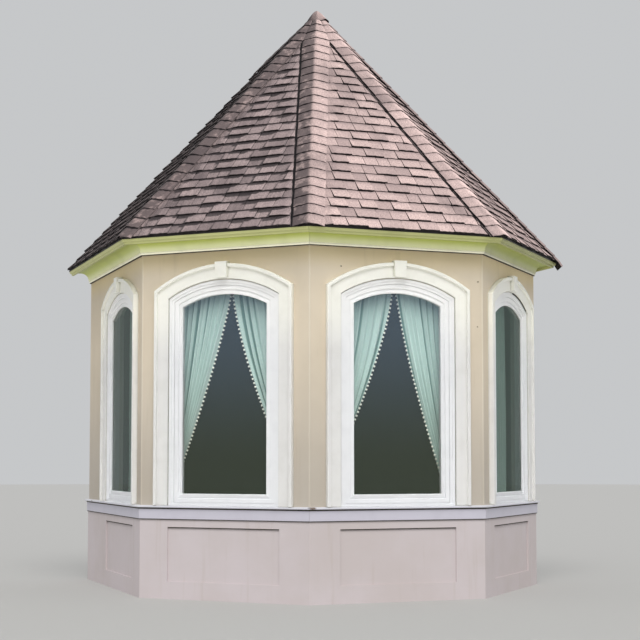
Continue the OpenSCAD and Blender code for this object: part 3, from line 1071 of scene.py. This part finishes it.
# for each tied panel: where the free edges meet, where the tie is and how far the cloth sags
ties = {
    ("front_left", -1): (-0.049, -0.56, 1.1, 1.25),
    ("front_left", 1): (-0.019, 0.56, 0.95, 1.45),
    ("front_right", -1): (0.041, -0.56, 1.0, 1.5),
    ("front_right", 1): (0.067, 0.55, 0.9, 1.22),
}
tieSet = {
    "footRadius": 0.032,
    "headRadius": 0.03,
    "high": 0.045,
    "oval": 1.4,
    "tilt": 14,
    "thick": 0.003,
    "hookRadius": 0.004,
    "hookLong": 0.05,
    "hookAside": 0.01,
    "hookBack": 0.06,
}
fringeSet = {
    "pitch": 0.034,
    "radius": 0.0092,
    "aside": 0.006,  # how far a ball hangs off the edge, out of the cloth and down
    "out": 0.002,
    "down": 0.007,
    "threadRadius": 0.0016,
    "threadLong": 0.012,
    "ends": 0.02,
    "step": 0.004,
}


def panelLabel(kind, name, hand):
    return kind + "_" + name + ("_a" if hand < 0 else "_b")


def panelEdges(name, hand, z):
    # the outer and the free edge of a panel at a height
    shape = panelSet
    outer = shape["outer"] * hand
    if (name, hand) not in ties:
        return outer, shape["apart"] * hand
    meet, tieX, tieZ, power = ties[(name, hand)]
    if z > tieZ:
        head = shape["top"] - shape["heading"]
        fallen = max(0, (head - z) / (head - tieZ))
        pull = max(0, 1 - (z - tieZ) / shape["pullHigh"]) ** 2
        return outer - shape["pullIn"] * hand * pull, meet + (tieX - meet) * fallen ** power
    flare = min(1, (tieZ - z) / shape["flareHigh"])
    return outer, tieX - hand * shape["flareOut"] * flare ** 0.8


def waver(share, z, across, up, seed):
    # smooth noise over a panel, at so many swings across it and to a metre of height
    return noise.noise(Vector((share * across, z * up, seed)))


def panelPoint(name, hand, share, z, seed):
    # a point of the cloth, and how much painted shade it takes as part of a fold
    outer, free = panelEdges(name, hand, z)
    shape = panelSet
    width = abs(free - outer)
    wave = width / shape["folds"]
    # a fold is as deep as a zigzag of its cloth, a little less for its round
    spare = (shape["flatWidth"] / shape["folds"]) ** 2 - wave * wave
    deep = 0.25 * sqrt(max(spare, 0)) * 0.92
    drift = waver(share, z, 2.2, 0.5, seed) * 0.6
    drift += waver(share, z, 7, 1.1, seed + 5) * 0.2
    swell = 1 + 0.35 * waver(share, z, 5, 0.7, seed + 9)
    fold = sin(2 * pi * (shape["folds"] * share + drift))
    sharp = sin(4 * pi * (shape["folds"] * share + drift) + 1.1) * 0.16
    gathered = min(1, 0.45 + (shape["top"] - z) * 1.8)
    y = shape["rodY"] + min(deep * swell, shape["deepest"]) * (fold + sharp) * gathered * 0.9
    x = outer + (free - outer) * share
    x += 0.25 * wave * waver(share, z, 9, 0.9, seed + 13)
    # some folds take deep painted shade and others hardly show
    depth = 0.72 + 0.75 * waver(share, z, 6, 0.3, seed + 21)
    return Vector((x, y, z)), min(1, max(0, (fold + 1) / 2 * depth))


def makePanel(name, hand, seed):
    shape = panelSet
    bm = bmesh.new()
    uv = bm.loops.layers.uv.new("cloth")
    foldShadeLayer = addLayers(bm, "fold")[0]
    grid = bmesh.ops.create_grid(bm, x_segments=shape["columns"], y_segments=shape["rows"],
                                 size=0.5, calc_uvs=True)["verts"]
    drop = shape["top"] - shape["hem"]
    for face in bm.faces:
        for loop in face.loops:
            across, down = loop.vert.co.x + 0.5, loop.vert.co.y + 0.5
            loop[uv].uv = (across * shape["flatWidth"], down * drop)
    for vert in grid:
        share, up = vert.co.x + 0.5, vert.co.y + 0.5
        vert.co, vert[foldShadeLayer] = panelPoint(name, hand, share, shape["hem"] + up * drop, seed)
    bmesh.ops.transform(bm, matrix=wallFrame(name), verts=bm.verts)
    panel = makePiece(panelLabel("curtain", name, hand), bm, cloth, 180)
    solid = panel.modifiers.new("thickness", "SOLIDIFY")
    solid.thickness = shape["thick"]
    solid.offset = 0
    return panel


def makeFringe(name, hand, seed):
    # balls hung at an even pitch down the free edge, each on a short thread
    bm = bmesh.new()
    z = panelSet["top"] - fringeSet["ends"]
    last = panelPoint(name, hand, 1, z, seed)[0]
    hang = Vector((-hand * fringeSet["aside"], -fringeSet["out"], -fringeSet["down"]))
    run = 0
    while z > panelSet["hem"] + fringeSet["ends"]:
        z -= fringeSet["step"]
        point = panelPoint(name, hand, 1, z, seed)[0]
        run += (point - last).length
        last = point
        if run < fringeSet["pitch"]:
            continue
        run = 0
        centre = point + hang
        ball = bmesh.ops.create_icosphere(bm, subdivisions=2, radius=fringeSet["radius"])["verts"]
        bmesh.ops.translate(bm, verts=ball, vec=centre)
        thread = bmesh.ops.create_cone(
            bm, cap_ends=True, segments=6, radius1=fringeSet["threadRadius"],
            radius2=fringeSet["threadRadius"], depth=fringeSet["threadLong"])["verts"]
        bmesh.ops.translate(bm, verts=thread, vec=(point + centre) / 2)
    bmesh.ops.transform(bm, matrix=wallFrame(name), verts=bm.verts)
    return makePiece(panelLabel("fringe", name, hand), bm, bobbles, 60)


def makeTie(name, hand):
    # a cotton band round the gathered cloth, held by a hook in the wall
    tieX, tieZ = ties[(name, hand)][1:3]
    middle = (tieX + panelSet["outer"] * hand) / 2
    bm = bmesh.new()
    band = bmesh.ops.create_cone(bm, cap_ends=False, segments=32, radius1=tieSet["footRadius"],
                                 radius2=tieSet["headRadius"], depth=tieSet["high"])["verts"]
    bmesh.ops.scale(bm, verts=band, vec=(1, tieSet["oval"], 1))
    bmesh.ops.rotate(bm, verts=band,
                     matrix=Matrix.Rotation(radians(-tieSet["tilt"] * hand), 3, "Y"))
    bmesh.ops.solidify(bm, geom=list(bm.faces), thickness=tieSet["thick"])
    hook = bmesh.ops.create_cone(bm, cap_ends=True, segments=12, radius1=tieSet["hookRadius"],
                                 radius2=tieSet["hookRadius"], depth=tieSet["hookLong"])["verts"]
    bmesh.ops.rotate(bm, verts=hook, matrix=Matrix.Rotation(pi / 2, 3, "X"))
    bmesh.ops.translate(bm, verts=hook, vec=(tieSet["hookAside"] * hand, -tieSet["hookBack"], 0))
    bmesh.ops.translate(bm, verts=bm.verts, vec=(middle, panelSet["rodY"], tieZ))
    bmesh.ops.transform(bm, matrix=wallFrame(name), verts=bm.verts)
    makePiece(panelLabel("tieback", name, hand), bm, bobbles, 40)


for name, hand in ties:
    makeTie(name, hand)
for number, name in enumerate(windows):
    for hand in (-1, 1):
        seed = number * 7.3 + hand * 2.1  # differs from panel to panel
        panel = makePanel(name, hand, seed)
        fringe = makeFringe(name, hand, seed)
        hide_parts("curtains_" + name)
print("curtains hung")

# The studio: a pale floor, a pale surround, soft keys and bounces for the walls, the trim
# and the curtains, harder keys for the roof, and a dark cloth across the open back as
# painted shade for the dim house behind, one-sided so that the room shows from behind.
studioSet = {
    "surround": "#eef0f2",
    "surroundStrength": 0.66,
    "floor": "#bebdbb",
    "floorRadius": 60,
    # the cloth's black is painted shade for the dim house behind
    "flag": "#101615",
    "flagBehind": 0.02,
}
world = bpy.data.worlds.new("surround")
scene.world = world
world.use_nodes = True
background = world.node_tree.nodes["Background"]
setSocket(background.inputs["Color"], studioSet["surround"])
setSocket(background.inputs["Strength"], studioSet["surroundStrength"])

# The roof stands in sunlight and the walls in open shade, so each has a key of its own:
# where it shines from, its strength, its softness in degrees and its colour.
sunSet = {
    "roof key": ((0.67, -0.04, 0.74), 14, 3, "#fff3ec"),
    "side roof key": ((0.67, -0.04, 0.74), 8, 3, "#fff3ec"),
    "left roof key": ((0.8, 0.0, 0.6), 20, 3, "#f9f0ee"),
    "wall key": ((0.04, -0.62, 0.72), 1.75, 35, "#fffefb"),
    "curtain key": ((0.05, -0.95, 0.3), 4.4, 40, "#fbfff8"),
    "side curtain key": ((0.1, -0.9, 0.3), 1.3, 40, "#f4fff4"),
    "cornice bounce": ((-0.3, -0.85, -0.35), 1.8, 40, "#fffff0"),
    "trim bounce": ((-0.05, -0.45, -0.89), 0.6, 40, "#fff9e8"),
}


def partsNamed(*starts):
    return [o for o in scene.objects if o.type == "MESH" and o.name.startswith(starts)]


def groupOf(name, parts):
    group = bpy.data.collections.new(name)
    for part in parts:
        group.objects.link(part)
    return group


def addSun(name, lit, blocking=()):
    # a sun that shines on the lit objects alone, and that everything shades, or only
    # what is blocking
    source, strength, softness, colour = sunSet[name]
    light = bpy.data.lights.new(name, "SUN")
    light.energy = strength
    light.angle = radians(softness)
    light.color = linear(colour)[:3]
    lamp = bpy.data.objects.new(name, light)
    lamp.rotation_mode = "QUATERNION"
    lamp.rotation_quaternion = Vector(source).to_track_quat("Z", "Y")
    scene.collection.objects.link(lamp)
    lamp.light_linking.receiver_collection = groupOf(name + " lights", lit)
    if blocking:
        lamp.light_linking.blocker_collection = groupOf(name + " blockers", blocking)


floorBm = bmesh.new()
bmesh.ops.create_circle(floorBm, cap_ends=True, segments=96, radius=studioSet["floorRadius"])
floorPaper = startMaterial("studio paper", Roughness=0.9, Base_Color=studioSet["floor"])[0]
studioFloor = makeObject("studio_floor", floorBm, floorPaper)

slopeParts = partsNamed("roof_", "shingles_")
roofParts = slopeParts + [frontCaps, sideCaps, tip, capShadeLine, nodes["drip_edge"]]
leftRoof = [o for o in slopeParts if "front_left" in o.name]
sideRoof = [o for o in slopeParts if "_front" not in o.name] + [sideCaps]
curtainParts = partsNamed("curtain_front", "fringe_front")
sideCurtains = [o for o in partsNamed("curtain_", "fringe_") if o not in curtainParts]
corniceParts = [nodes["bed_mould"], nodes["soffit"], nodes["fascia"]]
trimParts = partsNamed("casing_", "sash_", "window_frame_", "keystones")
addSun("roof key", [o for o in roofParts if o not in leftRoof + sideRoof])
addSun("side roof key", sideRoof)
addSun("left roof key", leftRoof, leftRoof)
addSun("wall key", [o for o in partsNamed("") if o not in roofParts])
addSun("curtain key", curtainParts)
addSun("side curtain key", sideCurtains, sideCurtains)
addSun("cornice bounce", corniceParts, corniceParts)
addSun("trim bounce", trimParts, trimParts)


def houseShadeCloth():
    # Black cloth, dull, which shows from its front alone, as painted shade for the dim house behind
    # the room.
    material, tree, shader = startMaterial(
        "black flag cloth", Base_Color=studioSet["flag"], Roughness=1)[:3]
    behind = addNode(tree, "ShaderNodeNewGeometry", {}).outputs["Backfacing"]
    clear = addNode(tree, "ShaderNodeBsdfTransparent", {}).outputs[0]
    oneSided = addNode(tree, "ShaderNodeMixShader", {0: behind, 1: shader.outputs[0], 2: clear})
    tree.links.new(oneSided.outputs[0], tree.nodes["Material Output"].inputs["Surface"])
    return material


flagBm = bmesh.new()
roomLow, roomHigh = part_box("ceiling")
bmesh.ops.create_grid(flagBm, x_segments=1, y_segments=1, size=0.5)
bmesh.ops.scale(flagBm, verts=flagBm.verts, vec=(roomHigh.x - roomLow.x, roomHigh.z, 1))
bmesh.ops.rotate(flagBm, verts=flagBm.verts, matrix=Matrix.Rotation(pi / 2, 3, "X"))
bmesh.ops.translate(flagBm, verts=flagBm.verts, vec=(
    (roomHigh.x + roomLow.x) / 2, houseY + studioSet["flagBehind"], roomHigh.z / 2))
flag = makeObject("dark_flag", flagBm, houseShadeCloth())
scene.view_settings.view_transform = "Standard"
print("studio set")
